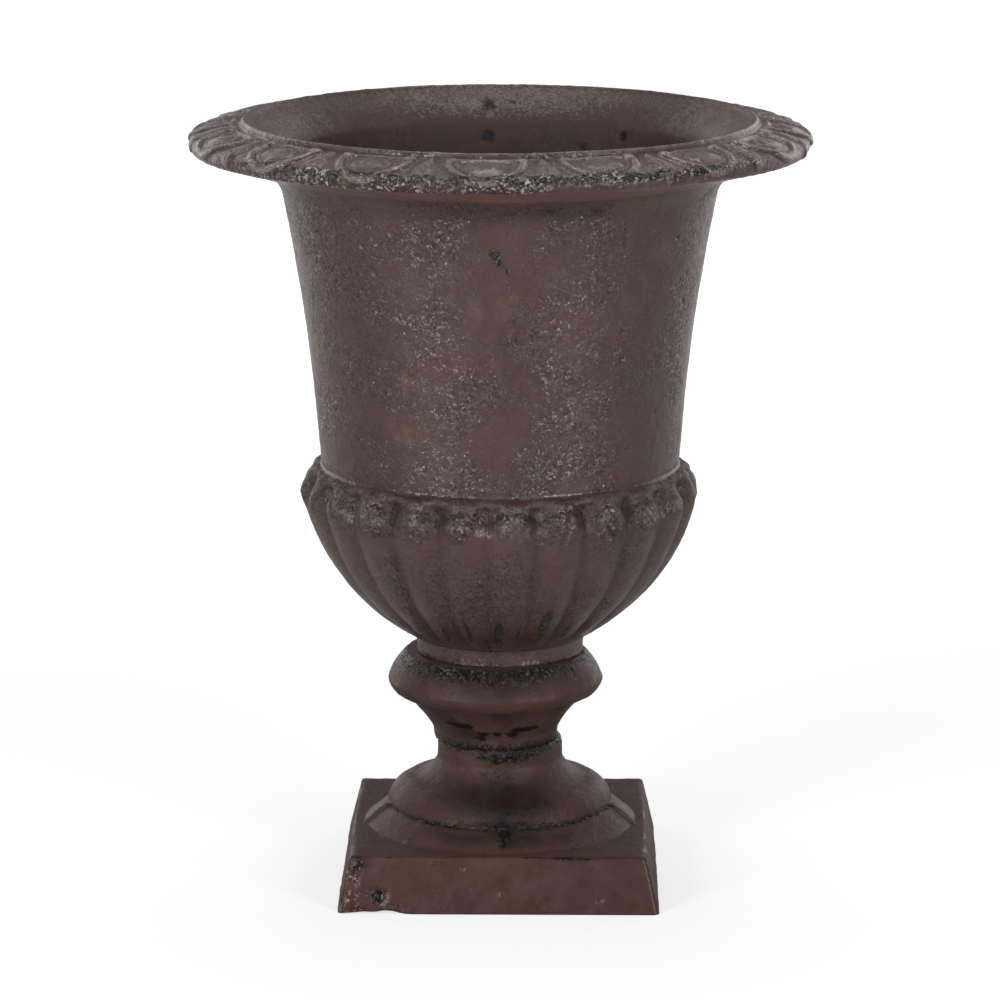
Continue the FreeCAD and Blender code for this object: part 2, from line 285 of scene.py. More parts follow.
def lattice(places, seed):
    """A steady random number from -1 to 1 for each place, which is three whole numbers."""
    mixed = sum(places[..., axis].astype(np.uint32) * MIXERS[axis] for axis in range(3))
    mixed = mixed + np.uint32(seed * int(MIXERS[3]) % 2 ** 32)
    for shift, mixer in ((15, MIXERS[2]), (13, MIXERS[3])):
        mixed = (mixed ^ (mixed >> np.uint32(shift))) * mixer
    mixed = mixed ^ (mixed >> np.uint32(16))
    return mixed.astype(np.float32) / np.float32(2 ** 31) - 1


def lumps(points, size, seed):
    """Smooth noise from -1 to 1 at points in millimetres, with lumps of about one size."""
    skewed = points.astype(np.float32) @ SKEW / size + seed * 17.3
    cell = np.floor(skewed)
    share = skewed - cell
    share = share * share * (3 - 2 * share)
    cell = cell.astype(np.int64)
    total = np.zeros(points.shape[:-1], np.float32)
    for corner in np.ndindex(2, 2, 2):
        weight = np.ones_like(total)
        for axis, step in enumerate(corner):
            weight *= share[..., axis] if step else 1 - share[..., axis]
        total += weight * lattice(cell + corner, seed)
    return total


def fractal(points, size, seed, octaves):
    """Layers of lumps, each half the size and about half the height of the last."""
    heights = [0.55 ** k for k in range(octaves)]
    layers = [lumps(points, size / 2 ** k, seed + k) * height for k, height in enumerate(heights)]
    return sum(layers) / sum(heights)


def clamp(field):
    """A field held between 0 and 1."""
    return np.clip(field, 0, 1)


def smooth_step(low, high, value):
    """0 below low, 1 above high, and an even rise between."""
    share = clamp((value - low) / (high - low))
    return share * share * (3 - 2 * share)


def highest(*fields):
    """The highest of several fields at each point, whatever their shapes."""
    top = fields[0]
    for field in fields[1:]:
        top = np.maximum(top, field)
    return top


def bell_curve(distance, width):
    """A round bump of height 1 that fades out over about the width."""
    return np.exp(-(distance / width) ** 2)


def crest(fall, power):
    """A rounded crest: 1 where the fall is 0, and down to 0 where the fall is 1."""
    return clamp(1 - fall) ** power


def turned(angle):
    """An angle in degrees, brought to between -180 and 180."""
    return (angle + 180) % 360 - 180


def nearest(angle, places):
    """How far an angle is from the nearest of several, in degrees."""
    return np.minimum.reduce([np.abs(turned(angle - place)) for place in places])


def proud(field, reach):
    """How far each point of a field stands above the mean of its neighbours within the reach."""
    mean = field
    for axis in (0, 1):
        mean = sum(np.roll(mean, k, axis) for k in range(-reach, reach + 1)) / (2 * reach + 1)
    return field - mean


def arc_points(start, end, bow, step):
    """Points along a shallow arc from start to end, its middle off to the right by the bow."""
    start, end = np.array(start, float), np.array(end, float)
    along = end - start
    length = np.hypot(*along)
    share = np.linspace(0, 1, max(2, int(length / step) + 1))[:-1, None]
    right = np.array([along[1], -along[0]]) / length
    return start + share * along + 4 * share * (1 - share) * bow * right


class Turning:
    """A closed outline turned into a grid of points, with rows along it and columns round it.

    Each step of the outline is (zone, radius, height, bow, spacing): the zone is the name of the
    stretch that leads to that point, and the spacing is the distance between its rows. What is
    kept for each row has one column, and the angles are one row, so that the two can be combined.
    """

    def __init__(self, steps, columns, rounding):
        fine = 0.1
        points, zones, spacings = [], [], []
        for k, (last, step) in enumerate(zip(steps[-1:] + steps[:-1], steps)):
            run = arc_points(last[1:3], step[1:3], step[3], fine)
            points.append(run)
            zones.append(np.full(len(run), k))
            spacings.append(np.full(len(run), step[4]))
        path, zone = np.vstack(points), np.concatenate(zones)
        gap = np.hypot(*(np.roll(path, -1, 0) - path).T)
        travelled = np.concatenate([[0], np.cumsum(gap)[:-1]])

        reach = int(4 * rounding / fine)
        kernel = np.exp(-(np.arange(-reach, reach + 1) * fine / rounding) ** 2)
        kernel /= kernel.sum()
        wrapped = np.concatenate([path[-reach:], path, path[:reach]])
        smooth = np.stack([np.convolve(line, kernel, "valid") for line in wrapped.T], 1)
        tangent = np.roll(smooth, -3, 0) - np.roll(smooth, 3, 0)
        tangent /= np.hypot(*tangent.T)[:, None]

        count = np.cumsum(gap / np.concatenate(spacings))
        picks = np.searchsorted(count, np.arange(0, int(count[-1])) + 0.5)
        self.columns = columns
        self.angle = ((np.arange(columns) + 0.5) * 360 / columns - 180)[None, :]
        self.radius, self.height = smooth[picks, :1], smooth[picks, 1:]
        self.normal = np.stack([tangent[picks, 1], -tangent[picks, 0]], 1)
        self.zone, self.along = zone[picks, None], travelled[picks, None]
        self.number = {step[0]: k for k, step in enumerate(steps)}
        self.start = {name: travelled[zone == k][0] for name, k in self.number.items()}
        self.length = {name: gap[zone == k].sum() for name, k in self.number.items()}

    def past(self, name):
        """How far each row lies past the start of a zone, in millimetres along the outline."""
        return self.along - self.start[name]

    def among(self, *names):
        """Whether each row is in one of the zones."""
        return np.isin(self.zone, [self.number[name] for name in names])

    def share(self, name):
        """How far along a zone each row is, from 0 to 1 within it."""
        return self.past(name) / self.length[name]

    def ramp(self, name, fade):
        """1 over the rows of a zone, fading to 0 over a distance outside it."""
        past = self.past(name)
        return 1 - smooth_step(0, fade, np.maximum(-past, past - self.length[name]))

    def lifted(self, rise):
        """The grid with each point moved out along its normal, in millimetres."""
        turn = np.radians(self.angle)
        rise = np.broadcast_to(rise, (len(self.radius), self.columns))
        radius = self.radius + self.normal[:, :1] * rise
        height = self.height + self.normal[:, 1:] * rise
        return np.stack([radius * np.sin(turn), -radius * np.cos(turn), height], -1)


class Roughness:
    """Layers of noise on a casting, from -1 to 1, and its sandy areas, from 0 to 1."""

    def __init__(self, base, seed, grain_size, small_size, slow_size):
        self.grain = fractal(base, grain_size, seed, 2)
        self.small = lumps(base, small_size, seed + 10)
        self.middle = lumps(base, 8, seed + 20)
        self.slow = lumps(base, slow_size, seed + 30)
        self.sand = smooth_step(-0.3, 0.45, fractal(base, 16, seed + 50, 4))

    def patches(self, share, middle, small=0):
        """A cover of about a share that comes and goes with the lumps."""
        return clamp(share + middle * self.middle + small * self.small)

    def skin(self, casting, warp, sandy, crust):
        """Warp, lumps and sand grain of a plain casting, in millimetres."""
        rise = casting.warp * METRE * self.slow * warp
        rise = rise + casting.lump * METRE * (self.middle + 0.5 * self.small)
        return rise + casting.grain * METRE * self.grain * (0.4 + 0.6 * sandy + 1.6 * crust)


def grid_object(name, points, masks, closed=True):
    """A smooth mesh object from a grid of points in millimetres.

    The grid is closed along its rows, and along its columns too unless told otherwise.
    """
    rows, columns = points.shape[:2]
    index = np.arange(rows * columns).reshape(rows, columns)
    upper = np.roll(index, -1, 0) if closed else index[1:]
    lower = index if closed else index[:-1]
    quads = np.stack([lower, np.roll(lower, -1, 1), np.roll(upper, -1, 1), upper], -1)
    quads = quads.reshape(-1, 4)
    mesh = bpy.data.meshes.new(name)
    mesh.vertices.add(rows * columns)
    mesh.vertices.foreach_set("co", (points / METRE).astype(np.float32).ravel())
    mesh.loops.add(quads.size)
    mesh.loops.foreach_set("vertex_index", quads.astype(np.int32).ravel())
    mesh.polygons.add(len(quads))
    mesh.polygons.foreach_set("loop_start", np.arange(0, quads.size, 4, dtype=np.int32))
    mesh.polygons.foreach_set("use_smooth", np.ones(len(quads), bool))
    mesh.update(calc_edges=True)
    mesh.validate()
    for key, value in masks.items():
        layer = mesh.attributes.new(key, "FLOAT", "POINT")
        value = np.broadcast_to(value, (rows, columns)).astype(np.float32)
        layer.data.foreach_set("value", value.ravel())
    piece = bpy.data.objects.new(name, mesh)
    bpy.context.scene.collection.objects.link(piece)
    return piece


def finish_piece(piece, nodes, material):
    """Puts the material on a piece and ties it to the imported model."""
    piece.data.materials.append(material)
    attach(piece, "root")
    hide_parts(*nodes)


def marks_at(turning, marks, side=1):
    """Soft marks on the outer (1) or inner (-1) side of a turned grid."""
    field = np.zeros((len(turning.radius), turning.columns), np.float32)
    seen = turning.normal[:, :1] * side > 0.05
    for angle, height, wide, high, lean, strength in marks:
        up = turning.height - height
        across = np.radians(turned(turning.angle - angle)) * turning.radius - lean * up
        field = np.maximum(field, bell_curve(across, wide) * bell_curve(up, high) * seen * strength)
    return field


def scattered(count, seed, low, high, size, strength):
    """Marks strewn at random round the urn between two heights."""
    dice = np.random.default_rng(seed)
    return [
        (dice.uniform(-180, 180), dice.uniform(low, high), size * dice.uniform(0.6, 1.5),
         size * dice.uniform(0.6, 1.5), 0.0, strength * dice.uniform(0.5, 1.0))
        for _ in range(count)
    ]


# ---- Settings ----

def number(name, description, default, **more):
    """A number property."""
    return bpy.props.FloatProperty(name=name, description=description, default=default, **more)


def length(name, description, millimetres):
    """A length property with its default given in millimetres."""
    return number(name, description, millimetres / METRE, unit="LENGTH", precision=5)


def angle(name, description, degrees):
    """An angle property with its default given in degrees."""
    return number(name, description, math.radians(degrees), subtype="ANGLE")


def power(name, description, watts):
    """A lamp's power."""
    return number(name, description, watts, unit="POWER")


def whole(name, description, default, least):
    """A whole-number property."""
    return bpy.props.IntProperty(name=name, description=description, default=default, min=least)


def colour(name, description, value):
    """A colour property."""
    return bpy.props.FloatVectorProperty(
        name=name, description=description, default=value, size=3, subtype="COLOR", min=0, max=1)


class UrnOrnament(bpy.types.PropertyGroup):
    """Counts, turns and heights of the cast ornament."""

    lobe_count: whole("Lobes", "Lobes round the swell", 24, 8)
    lobe_turn: angle("Lobe turn", "Angle of the first lobe from the front", 3.6)
    lobe_depth: length("Lobe depth", "Depth of the valleys between lobes at the widest place", 2.6)
    nose_depth: length("Nose depth", "Depth of the gaps between the lobes' noses", 4.3)
    egg_count: whole("Eggs", "Eggs round the rim", 16, 6)
    egg_turn: angle("Egg turn", "Angle of the first egg from the front", -2.6)
    egg_rise: length("Egg rise", "Height of an egg above the band", 1.2)
    shell_rise: length("Shell rise", "Height of the shell round an egg", 1.3)
    dart_rise: length("Dart rise", "Height of a dart between two shells", 1.25)


class UrnCasting(bpy.types.PropertyGroup):
    """How rough the castings are and what covers them."""

    columns: whole("Columns", "Mesh columns round a casting", 1080, 180)
    warp: length("Warp", "Slow unevenness of the castings", 0.28)
    lump: length("Lumps", "Lumps a few millimetres across", 0.16)
    grain: length("Grain", "Height of the sand grain", 0.12)
    paint: colour("Paint", "Rust-brown paint", (0.056, 0.0265, 0.02))
    worn: colour("Worn paint", "Paint where it is warmer and thinner", (0.067, 0.031, 0.02))
    dusty: colour("Dusty paint", "Paint where it is paler and duller", (0.069, 0.039, 0.032))
    # Painted shade in the low places of the grain, in its creases and in its specks
    grain_shade: colour("Soot", "Dark paint in the hollows of the grain", (0.018, 0.0105, 0.0085))
    # Paler paint on the tops of the ornament: partly worn paint, partly a painted highlight
    rubbed: colour("Rubbed paint", "Paint on the worn tops of the ornament", (0.165, 0.13, 0.118))
    # Pale specks in the crust: partly worn through, partly painted glints
    tips_and_painted_glints: colour("Tips", "Pale bare tips in the crust", (0.36, 0.3, 0.28))
    rust: colour("Rust", "Pale rust where the paint is gone", (0.19, 0.1, 0.06))
    tar: colour("Tar", "Black runs and crusts", (0.006, 0.005, 0.0048))
    roughness: number("Roughness", "Roughness of the paint", 0.42, min=0, max=1, subtype="FACTOR")
    zinc: colour("Zinc", "Dulled plating of the bolt", (0.5, 0.49, 0.47))
    dark_zinc: colour("Dark zinc", "Patches of the plating that are duller", (0.34, 0.33, 0.31))
    bolt_rust: colour("Bolt rust", "Rust in the plating of the bolt", (0.2, 0.1, 0.05))


class UrnStudio(bpy.types.PropertyGroup):
    """Camera and lamps."""

    distance: length("Distance", "Camera to the aim point", 1815.75)
    aim_height: length("Aim height", "Height of the aim point on the axis", 143.96)
    pitch: angle("Pitch", "How far the camera looks down", 12.24)
    lens: number("Lens", "Focal length", 174.3, unit="CAMERA")
    left_lamp: power("Left lamp", "Power of the left softbox", 17.0)
    right_lamp: power("Right lamp", "Power of the right softbox", 13.5)
    top_lamp: power("Top lamp", "Power of the softbox above the urn", 5.3)
    back_lamps: power("Back lamps", "Power of each softbox behind the urn", 6.0)
    backdrop: colour("Backdrop", "Colour behind the urn", (1.0, 1.0, 1.0))


# ---- Materials ----

class Nodes:
    """A short way to add and join the shader nodes of a material or a world."""

    def __init__(self, owner):
        owner.use_nodes = True
        self.owner = owner
        self.tree = owner.node_tree
        self.tree.nodes.clear()

    def add(self, kind, **settings):
        """A node with its properties set, and sockets given as a dictionary called inputs."""
        node = self.tree.nodes.new(kind)
        inputs = settings.pop("inputs", {})
        for key, value in settings.items():
            setattr(node, key, value)
        for key, value in inputs.items():
            self.feed(node.inputs[key], value)
        return node

    def feed(self, socket, value):
        """Joins an output to a socket, or sets the socket's value."""
        if isinstance(value, bpy.types.NodeSocket):
            self.tree.links.new(value, socket)
        elif hasattr(value, "__len__") and len(value) == 3 and socket.type == "RGBA":
            socket.default_value = (*value, 1)
        else:
            socket.default_value = value

    def maths(self, operation, *values):
        """A maths node's result."""
        inputs = dict(enumerate(values))
        return self.add("ShaderNodeMath", operation=operation, inputs=inputs).outputs[0]

    def times(self, first, second):
        """One value times another."""
        return self.maths("MULTIPLY", first, second)

    def most(self, first, second):
        """The higher of two values."""
        return self.maths("MAXIMUM", first, second)

    def plus(self, start, factor, value):
        """A start with a factor times a value added."""
        return self.maths("MULTIPLY_ADD", value, factor, start)

    def sway(self, start, factor, noise):
        """A start swayed up and down by a noise."""
        return self.plus(start, factor, self.maths("SUBTRACT", noise, 0.5))

    def vector(self, operation, first, second):
        """A vector maths node."""
        return self.add("ShaderNodeVectorMath", operation=operation, inputs={0: first, 1: second})

    def part(self, vector, axis):
        """One of a vector's three numbers."""
        return self.add("ShaderNodeSeparateXYZ", inputs={0: vector}).outputs[axis]

    def ramp(self, value, low, high, bottom=0.0, top=1.0):
        """The bottom below low, the top above high."""
        node = self.add("ShaderNodeMapRange", interpolation_type="SMOOTHSTEP", inputs={
            "Value": value, "From Min": low, "From Max": high, "To Min": bottom, "To Max": top})
        return node.outputs["Result"]

    def blend(self, share, first, second):
        """A mix of two colours."""
        inputs = {0: share, 6: first, 7: second}
        return self.add("ShaderNodeMix", data_type="RGBA", inputs=inputs).outputs[2]

    def mask(self, name):
        """A mask kept on the mesh's points."""
        return self.add("ShaderNodeAttribute", attribute_name=name).outputs["Fac"]

    def noise(self, place, size, detail, roughness=0.55):
        """Noise with features of about a size in millimetres."""
        return self.add("ShaderNodeTexNoise", inputs={
            "Vector": place, "Scale": METRE / size, "Detail": detail, "Roughness": roughness,
        }).outputs["Fac"]

    def cells(self, place, size):
        """Cells of about a size in millimetres."""
        inputs = {"Vector": place, "Scale": METRE / size}
        return self.add("ShaderNodeTexVoronoi", inputs=inputs).outputs

    def facets(self, place, size):
        """Small flat faces, each tilted its own way: their height in millimetres, a number each."""
        cells = self.cells(place, size)
        offset = self.vector("SUBTRACT", place, cells["Position"]).outputs[0]
        tilt = self.vector("SUBTRACT", cells["Color"], (0.5, 0.5, 0.5)).outputs[0]
        slope = self.vector("DOT_PRODUCT", offset, tilt).outputs["Value"]
        return self.times(slope, METRE), self.part(cells["Color"], "X")

    def finish(self, shader, kind="ShaderNodeOutputMaterial"):
        """Joins the shader to the surface."""
        self.add(kind, inputs={"Surface": shader.outputs[0]})
        return self.owner


def iron_paint(name, casting, shift, lacquer, specular):
    """Rust-brown paint under a thin lacquer on sand-cast iron, with black runs and crusts, and with
    painted shade, painted glints and painted highlights in its colour.
    """
    mat = Nodes(bpy.data.materials.new(name))
    where = mat.add("ShaderNodeTexCoord").outputs["Object"]
    place = mat.add("ShaderNodeMapping", inputs={"Vector": where, "Location": shift}).outputs[0]
    tar_mask, crust = mat.mask("tar"), mat.mask("crust")
    sandy, worn, hollow = mat.mask("sandy"), mat.mask("worn"), mat.mask("hollow")
    dull, rubbed, bare = mat.mask("dull"), mat.mask("rubbed"), mat.mask("bare")
    rough_area = mat.most(sandy, crust)

    patches = mat.noise(place, 34, 4)
    clouds = mat.noise(place, 7, 4)
    grain = mat.noise(place, 1.1, 3, 0.65)
    wrinkles = mat.noise(place, 2.6, 3, 0.65)
    facets, pick = mat.facets(place, 0.9)
    crease = mat.ramp(mat.maths("ABSOLUTE", mat.maths("SUBTRACT", wrinkles, 0.5)), 0.042, 0.0)
    crease = mat.times(crease, mat.ramp(clouds, 0.43, 0.57))
    speck = mat.ramp(mat.cells(place, 2.4)["Distance"], 0.24, 0.1)
    speck = mat.times(speck, mat.ramp(clouds, 0.46, 0.6))

    brown = mat.blend(mat.ramp(patches, 0.4, 0.68), casting.paint, casting.worn)
    brown = mat.blend(mat.times(mat.ramp(clouds, 0.4, 0.72), 0.6), brown, casting.dusty)
    # Painted shade: the grain's low places, its creases and specks, and some facets at random,
    # darkened towards the grain shade colour, in the crust too
    painted_grain_shade = mat.most(mat.ramp(grain, 0.43, 0.35), mat.ramp(pick, 0.2, 0.13))
    painted_grain_shade = mat.times(mat.most(crease, painted_grain_shade), rough_area)
    painted_grain_shade = mat.most(painted_grain_shade, mat.times(speck, mat.plus(0.4, 0.6, rough_area)))
    brown = mat.blend(mat.times(painted_grain_shade, 0.85), brown, casting.grain_shade)
    brown = mat.blend(mat.times(crust, mat.ramp(grain, 0.7, 0.45)), brown, casting.grain_shade)
    # Painted highlight, with worn paint: the tops of the ornament and the lip's bead made paler
    brown = mat.blend(mat.times(rubbed, mat.ramp(grain, 0.36, 0.5)), brown, casting.rubbed)
    brown = mat.blend(mat.times(worn, 0.75), brown, casting.rust)
    tar = mat.ramp(mat.sway(tar_mask, 1.5, grain), 0.4, 0.62)
    # The pits, and the painted shade on the swell's base, the knop and the foot, darken to the tar
    # colour
    pits_and_shade_share = mat.ramp(mat.sway(hollow, 0.35, grain), 0.26, 0.85)
    base = mat.blend(mat.most(tar, pits_and_shade_share), brown, casting.tar)
    # Painted glints, with worn-through paint: pale facets in the crust
    base = mat.blend(mat.times(mat.ramp(pick, 0.76, 0.86), bare), base, casting.tips_and_painted_glints)

    gloss = mat.sway(casting.roughness, 0.25, clouds)
    gloss = mat.plus(gloss, -0.26, mat.most(crust, tar))
    gloss = mat.plus(gloss, 0.22, dull)
    gloss = mat.plus(gloss, -0.12, rubbed)

    depth = mat.most(mat.plus(0.12, 0.55, sandy), mat.times(crust, 1.2))
    height = mat.plus(mat.times(grain, 0.5), 0.82, facets)
    height = mat.plus(height, -0.12, crease)
    height = mat.plus(height, -0.25, speck)
    bump = mat.add("ShaderNodeBump", inputs={
        "Strength": 1.0, "Distance": casting.grain * 8, "Height": mat.times(depth, height)})
    return mat.finish(mat.add("ShaderNodeBsdfPrincipled", inputs={
        "Base Color": base, "Roughness": gloss, "Normal": bump.outputs[0],
        "Specular IOR Level": specular, "Coat Weight": mat.plus(lacquer, -lacquer, dull),
        "Coat Roughness": 0.13, "Coat Normal": bump.outputs[0], "Sheen Weight": 0.04,
        "Sheen Roughness": 0.4, "Sheen Tint": (1.0, 0.68, 0.6, 1.0)}))


def zinc_plate(name, casting):
    """Dulled zinc plating with duller patches and a little rust."""
    mat = Nodes(bpy.data.materials.new(name))
    place = mat.add("ShaderNodeTexCoord").outputs["Object"]
    cloud = mat.noise(place, 3.5, 4)
    speck = mat.noise(place, 0.6, 2)
    plate = mat.blend(mat.ramp(cloud, 0.35, 0.7), casting.zinc, casting.dark_zinc)
    base = mat.blend(mat.ramp(cloud, 0.66, 0.78), plate, casting.bolt_rust)
    bump = mat.add("ShaderNodeBump", inputs={
        "Strength": 0.3, "Distance": 0.06 / METRE, "Height": speck})
    return mat.finish(mat.add("ShaderNodeBsdfPrincipled", inputs={
        "Base Color": base, "Roughness": mat.plus(0.26, 0.35, cloud), "Metallic": 0.9,
        "Normal": bump.outputs[0]}))


# ---- Bowl ----

def bowl_outline():
    """The bowl's closed outline, up the outside, over the lip and down the inside."""
    return [
        ("underside", BOWL_COLLAR_RADIUS, KNOP_TOP, 0, 3),
        ("collar", SWELL_BASE_RADIUS, SWELL_BASE, -0.3, 0.6),
        ("swell", SWELL_RADIUS, NOSE_BASE, SWELL_BULGE, 0.65),
        ("nose", NOSE_RADIUS, NOSE_LEVEL, 1.5, 0.45),
        ("nose_top", NOSE_TOP_RADIUS, NOSE_TOP_LEVEL, 1.2, 0.45),
        ("cove", BELL_FOOT_RADIUS, BELL_FOOT, -0.5, 0.45),
        ("bell", RIM_COVE_FOOT, BELL_TOP - RIM_COVE_DROP, 0.15 - BELL_HOLLOW, 0.6),
        ("rim_cove", RIM_COVE_RADIUS, BELL_TOP + RIM_COVE_HEIGHT, -1.8, 0.5),
        ("under_rim", RIM_EDGE_RADIUS, EDGE_BASE, -0.3, 0.7),
        ("rim_edge", RIM_RADIUS, EDGE_BASE + RIM_MIDDLE_HEIGHT, 0.5, 0.45),
        ("shoulder", RIM_SHOULDER_RADIUS, BAND_BASE + RIM_SHOULDER_RISE, 0.6, 0.45),
        ("band", LIP_OUTER_RADIUS, BAND_TOP - LIP_GROOVE_DEPTH, 0.5, 0.45),
        ("lip", LIP_INNER_RADIUS, BAND_TOP, LIP_BEAD_RISE, 0.35),
        ("flare", THROAT_RADIUS, BAND_TOP - FLARE_DEPTH, 0.9, 0.8),
        ("throat", INNER_BELL_RADIUS, BELL_TOP - WALL, 0.5, 0.8),
        ("inner_bell", BELL_FOOT_RADIUS - WALL, BELL_FOOT, BELL_HOLLOW, 1.8),
        ("inner_nose", INNER_NOSE_RADIUS, BOWL_FLOOR + INNER_NOSE_RISE, 0, 2),
        ("inner_swell", FLOOR_RADIUS, BOWL_FLOOR, -5, 2),
        ("floor", BOLT_HOLE_RADIUS, BOWL_FLOOR, 0, 0.5),
        ("hole", BOLT_HOLE_RADIUS, KNOP_TOP, 0, 2),
    ]


def lobe_relief(turning, ornament):
    """How far the surface lies below the lobes' crests, in the valleys and between the noses.

    With it come each column's lobe, and how near it is to a valley, from 0 to 1.
    """
    place = (turning.angle - math.degrees(ornament.lobe_turn)) / (360 / ornament.lobe_count)
    lobe = np.floor(place + 0.5)
    valley = np.abs(place - lobe) * 2
    shallow, deep = ornament.lobe_depth * METRE, ornament.nose_depth * METRE
    along = turning.share("swell")
    fall = shallow * smooth_step(0.02, 0.3, along) * (0.4 + 0.6 * along) * turning.among("swell")
    along = turning.past("nose") / (turning.length["nose"] + turning.length["nose_top"])
    gap = shallow + (deep - shallow) * smooth_step(0.1, 0.55, along)
    gap = gap * (1 - smooth_step(0.58, 1.0, along))
    fall = np.where(turning.among("nose", "nose_top"), gap, fall)
    return -fall * valley ** 1.9, lobe, valley


def egg_and_dart(turning, ornament, base):
    """Height of the eggs, shells, knobs and darts above the band, which curls over the edge."""
    pitch = 360 / ornament.egg_count
    place = (turning.angle - math.degrees(ornament.egg_turn)) / pitch
    which = np.floor(place + 0.5)
    half = math.radians(pitch) * BAND_RADIUS / 2
    around = (place - which) * 2 * half + lumps(base, 6, 51) * 0.5
    out = lumps(base, 6, 52) * 0.5 - turning.past("lip")
    heft = 0.8 + 0.4 * np.random.default_rng(7).random(ornament.egg_count)
    heft = heft[which.astype(int) % ornament.egg_count]

    oval = np.sqrt((around / EGG_HALF_WIDTH) ** 2 + ((out - EGG_PLACE) / EGG_HALF_LENGTH) ** 2)
    egg = crest(oval ** 2.6, 0.7) * ornament.egg_rise * METRE * heft
    egg = egg - 0.35 * bell_curve(oval - 0.62, 0.09) * (out < 11.2)
    reach = np.sqrt((around / SHELL_HALF_WIDTH) ** 2 + ((out - SHELL_PLACE) / SHELL_LENGTH) ** 2)
    shell = smooth_step(3.6, 5.4, out) * ornament.shell_rise * METRE
    shell = shell * np.maximum(
        crest(((reach - 1) / 0.105) ** 2, 0.7), 0.4 * crest(((reach - 0.8) / 0.06) ** 2, 0.6))
    knob = (np.abs(around) - KNOB_AROUND) ** 2 + (out - KNOB_PLACE) ** 2
    knob = crest(knob / KNOB_RADIUS ** 2, 0.5) * KNOB_RISE
    link = bell_curve(out - LINK_PLACE - 0.009 * around ** 2, 0.9) * LINK_RISE
    link = link * (np.abs(around) < 12.5)
    side = half - np.abs(around)
    along = clamp((out - DART_PLACE) / DART_LENGTH)
    width = DART_HALF_WIDTH * np.sin(np.pi * along ** 1.15) ** 0.8 + 0.01
    dart = crest(side / width, 0.7) * ornament.dart_rise * METRE
    dart = dart * (1 - 0.45 * bell_curve(side, 0.7) * smooth_step(0.3, 0.6, along))
    fade = smooth_step(0.6, 2.0, out) * smooth_step(25.5, 22.0, out)
    return highest(egg, shell, knob, link, dart) * fade


def nose_relief(turning, ornament, rough, lobe, valley):
    """Where the lobes' rough noses are, from 0 to 1, and how far they stand out."""
    small, middle, height = rough.small, rough.middle, turning.height
    heft = np.random.default_rng(3).uniform(-0.5, 0.5, ornament.lobe_count)
    heft = heft[lobe.astype(int) % ornament.lobe_count]
    zone = np.maximum(turning.ramp("nose_top", 1.0), turning.ramp("nose", 0.1))
    zone = zone * smooth_step(*NOSE_ROUGH, height + 3.5 * middle + 1.5 * small + 6 * heft)
    lift = heft + 0.35 * middle + 0.3 * small + 1.1 * bell_curve(height - NOSE_ROUGH[1], 5)
    return zone, lift * zone * (1 - valley ** 2)


def bowl_cover(turning, rough, nose_zone, valley):
    """The crust on the bowl, its black runs, and the pale specks in the crust, partly worn through
    and partly painted glints.
    """
    small, middle, height = rough.small, rough.middle, turning.height
    out = -turning.past("lip")
    front = smooth_step(64, 34, np.abs(turning.angle + 1))
    rim = highest(*(turning.ramp(name, 0.3) for name in ("rim_edge", "shoulder", "band")))
    clean = smooth_step(0, 12, turning.angle) * smooth_step(*EDGE_CLEAN, out + 1.2 * middle)
    edge_crust = rim * smooth_step(*EDGE_CRUST, out + 2.0 * middle) * (0.25 + 0.75 * front)
    edge_crust = edge_crust * (1 - 0.85 * clean)
    edge_tar = bell_curve(out - EDGE_TAR - 1.2 * middle, 2.0) * rough.patches(0.95, 0.8)
    edge_tar = edge_tar * rim * front

    gap = smooth_step(0.5, 0.95, valley)
    nose_crust = nose_zone * rough.patches(0.85, 0.5, 0.3) * (1 - 0.75 * gap)
    nose_crust = nose_crust * (0.45 + 0.55 * bell_curve(turning.angle, 70))
    nose_crust = nose_crust * smooth_step(*NOSE_CRUST_TOP, height + 1.4 * middle + 0.8 * small)
    nose_tar = turning.ramp("nose_top", 1.8) * gap * rough.patches(0.5, 0.9, 0.3)
    nose_tar = nose_tar * smooth_step(*NOSE_CRUST_TOP, height + 1.4 * middle)

    seam = smooth_step(4.0, 0.3, height - KNOP_TOP) * turning.ramp("collar", 0.1)
    bell_run = highest(turning.ramp("bell", 0.1), turning.ramp("rim_cove", 1))
    bell_run = bell_run * bell_curve(height - BELL_RUN_LEVEL + 2 * small, 3)
    bell_run = bell_run * bell_curve(turning.angle - 3, 26)
    marks = marks_at(turning, BOWL_TAR) * (0.8 + 0.35 * small + 0.25 * rough.grain)
    crust = highest(edge_crust, nose_crust, seam * 0.35, bell_run * 0.6, marks * 0.8)
    tar = highest(
        marks, edge_tar * 0.85, nose_tar * 0.8, seam * rough.patches(0.45, 0.8),
        bell_run * rough.patches(0.32, 0.5))
    # Pale specks on the edge's crust and the noses' crests: partly worn through, partly painted
    # glints
    bare = highest(edge_crust * rough.patches(0.55, 0.8), 0.5 * nose_crust * (1 - valley) ** 2)
    return crust, tar, bare


